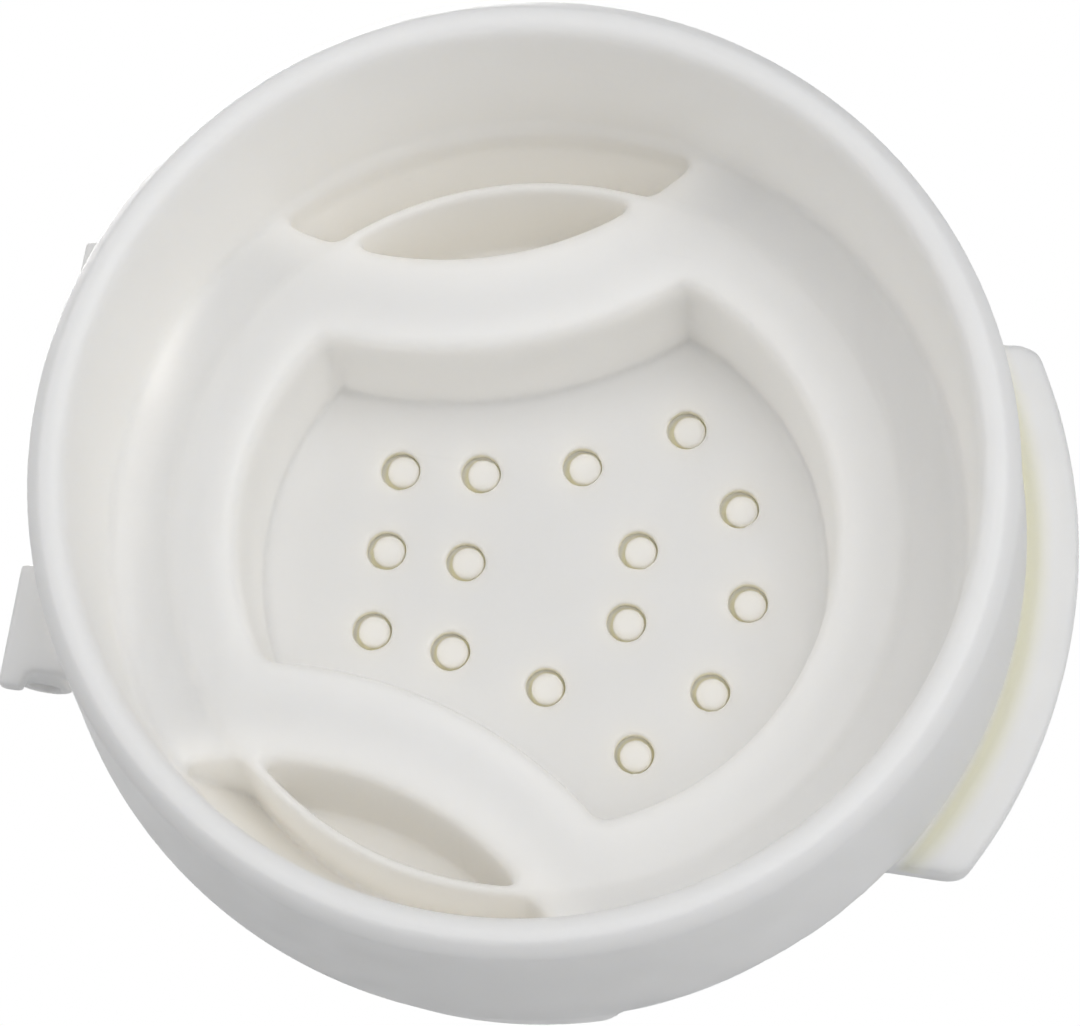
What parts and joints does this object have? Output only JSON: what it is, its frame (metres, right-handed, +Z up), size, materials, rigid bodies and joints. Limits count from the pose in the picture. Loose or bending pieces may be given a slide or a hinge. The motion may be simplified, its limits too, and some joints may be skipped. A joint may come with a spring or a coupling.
{
  "type": "shaker lid",
  "caption": "Flip-top shaker lid: a flared cap with a bow-tie sift well, and a hinged cover with a thumb lip and pegs that plug the sift holes.",
  "frame": {"origin": "centre of the open rim, in the plane that the lid stands on", "axes": "+Z up through the closed cover, +X towards the thumb lip, with the hinge at -X and its pin along Y"},
  "size_m": [0.0688, 0.064, 0.0308],
  "materials": {
    "cap_plastic": "off-white moulded polypropylene, satin",
    "cover_plastic": "off-white moulded polypropylene, satin",
    "pin_plastic": "natural nylon rod"
  },
  "bodies": {
    "cap": {"cap_body": "cap_plastic", "hinge_pin": "pin_plastic"},
    "cover": {"flip_cover": "cover_plastic"}
  },
  "joints": [
    {"name": "cover_hinge", "type": "hinge", "parent": "cap", "child": "cover", "pos_m": [-0.0312, 0, 0.0224], "axis": [0, -1, 0], "range_deg": [0, 135]}
  ]
}
